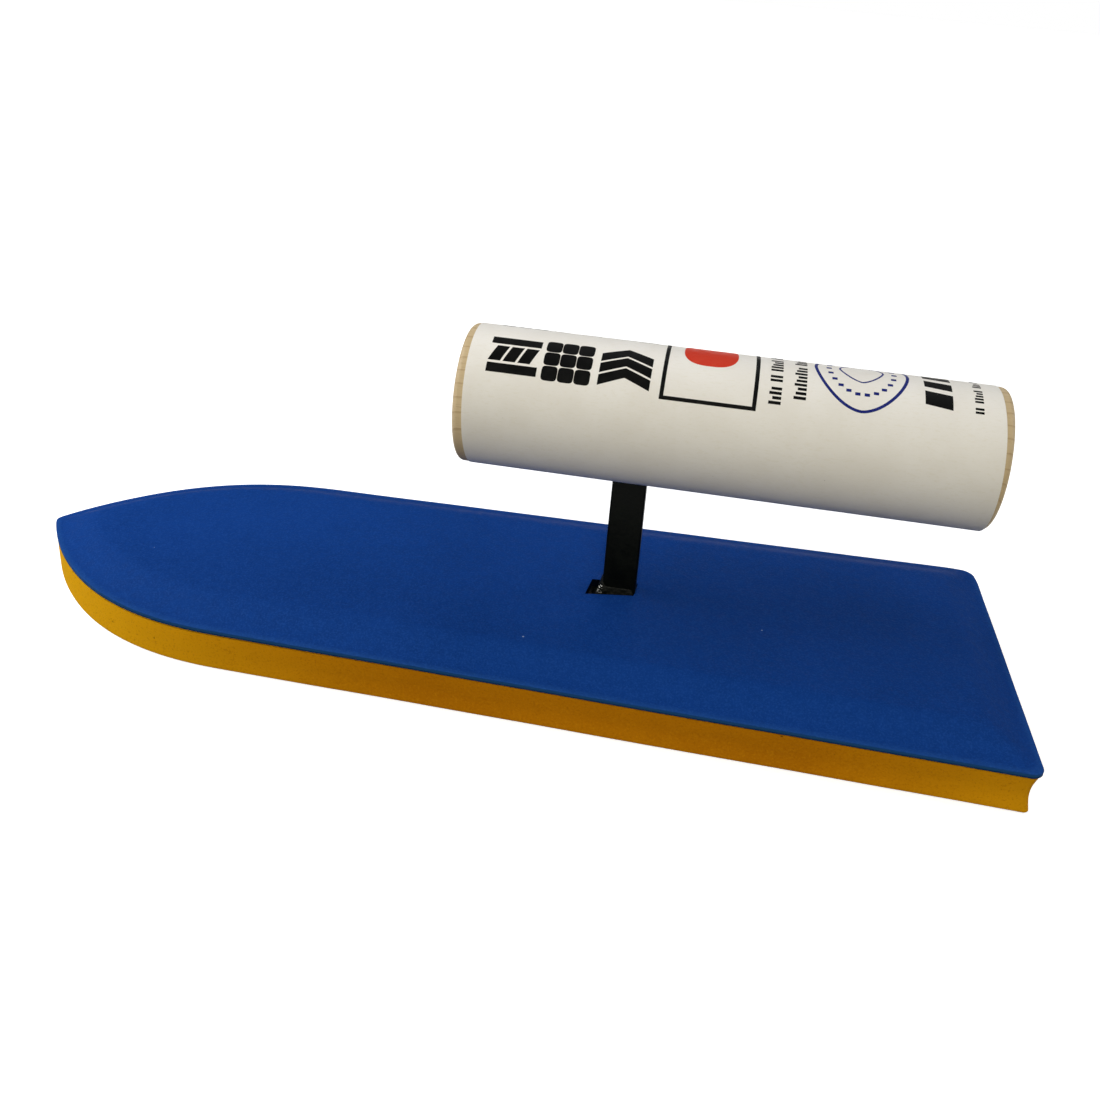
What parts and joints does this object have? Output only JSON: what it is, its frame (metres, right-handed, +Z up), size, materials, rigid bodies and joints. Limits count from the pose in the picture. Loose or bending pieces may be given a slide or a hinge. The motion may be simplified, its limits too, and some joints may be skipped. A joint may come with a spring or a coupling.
{
  "type": "rubber joint float",
  "caption": "Boat-nosed rubber hand float: a soft sole and a thin skin bonded round a steel plate, with a flat steel shank and a round wooden handle in a paper wrap.",
  "frame": {"origin": "middle of the bounding rectangle of the flat sole, on the sole's underside", "axes": "+X from the pointed nose to the square heel, +Y across, +Z up from the sole to the handle"},
  "size_m": [0.239, 0.0878, 0.0754],
  "materials": {
    "base_rubber": "matte",
    "skin_rubber": "matte",
    "plate_steel": "satin",
    "shank_paint": "satin",
    "weld_steel": "satin",
    "handle_wood": "satin",
    "label_paper": "matte",
    "pin_steel": "satin"
  },
  "bodies": {
    "root": {"base_pad": "base_rubber", "top_skin": "skin_rubber", "backing_plate": "plate_steel", "shank": "shank_paint", "foot_weld": "weld_steel", "handle": "handle_wood", "label": "label_paper", "tang_pin": "pin_steel"}
  },
  "joints": []
}
